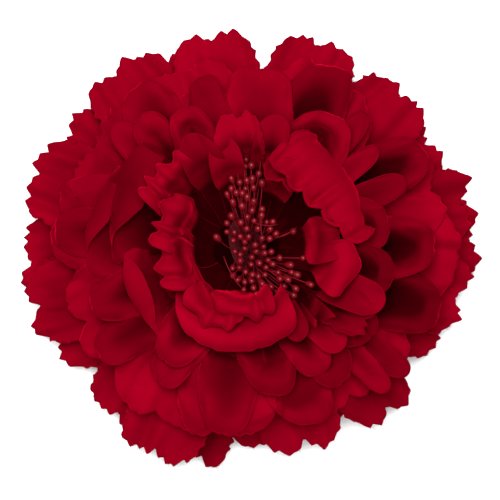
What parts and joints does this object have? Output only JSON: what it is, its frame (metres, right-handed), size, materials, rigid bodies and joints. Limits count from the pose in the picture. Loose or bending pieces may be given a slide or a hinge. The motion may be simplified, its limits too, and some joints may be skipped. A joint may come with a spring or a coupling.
{
  "type": "flower hair clip",
  "caption": "Large crimson fabric flower with serrated petals in stacked layers and bead-tipped stamens, on a felt-backed sprung alligator hair clip.",
  "frame": {"origin": "under the middle of the flower, level with the surface that the clip lies on when the flower faces up", "axes": "+Z out of the flower's face, +X along the clip from the jaw's tip to the lever, +Y up the flower as it is seen from the front"},
  "size_m": [0.12, 0.114, 0.046],
  "materials": {
    "petal_fabric": "matte",
    "stamen_thread": "satin",
    "stamen_bead": "gloss",
    "holder_plastic": "matte",
    "moulded_plastic": "satin",
    "clear_glue": "satin",
    "felt": "matte",
    "plated_steel": "satin",
    "pin_steel": "satin",
    "spring_steel": "polished"
  },
  "bodies": {
    "flower": {"petal_layer_1": "petal_fabric", "petal_layer_2": "petal_fabric", "petal_layer_3": "petal_fabric", "petal_layer_4": "petal_fabric", "petal_layer_5": "petal_fabric", "petal_layer_6": "petal_fabric", "petal_layer_7": "petal_fabric", "petal_layer_8": "petal_fabric", "spacer_1": "moulded_plastic", "spacer_2": "moulded_plastic", "spacer_3": "moulded_plastic", "spacer_4": "moulded_plastic", "spacer_5": "moulded_plastic", "spacer_6": "moulded_plastic", "spacer_7": "moulded_plastic", "calyx_base": "moulded_plastic", "stamen_holder": "holder_plastic", "stamen_threads": "stamen_thread", "stamen_beads": "stamen_bead", "glue_pad": "clear_glue", "felt_backing": "felt", "felt_patch": "felt", "clip_top_arm": "plated_steel", "clip_pin": "pin_steel", "clip_spring": "spring_steel"},
    "lower_arm": {"clip_lower_arm": "plated_steel"}
  },
  "joints": [
    {"name": "clip_hinge", "type": "hinge", "parent": "flower", "child": "lower_arm", "pos_m": [0.009, 0, 0.00929], "axis": [0, -1, 0], "range_deg": [0, 25], "stiffness_Nm_per_rad": 0.12, "springref_deg": -45.84, "deforming": ["clip_spring"]}
  ]
}
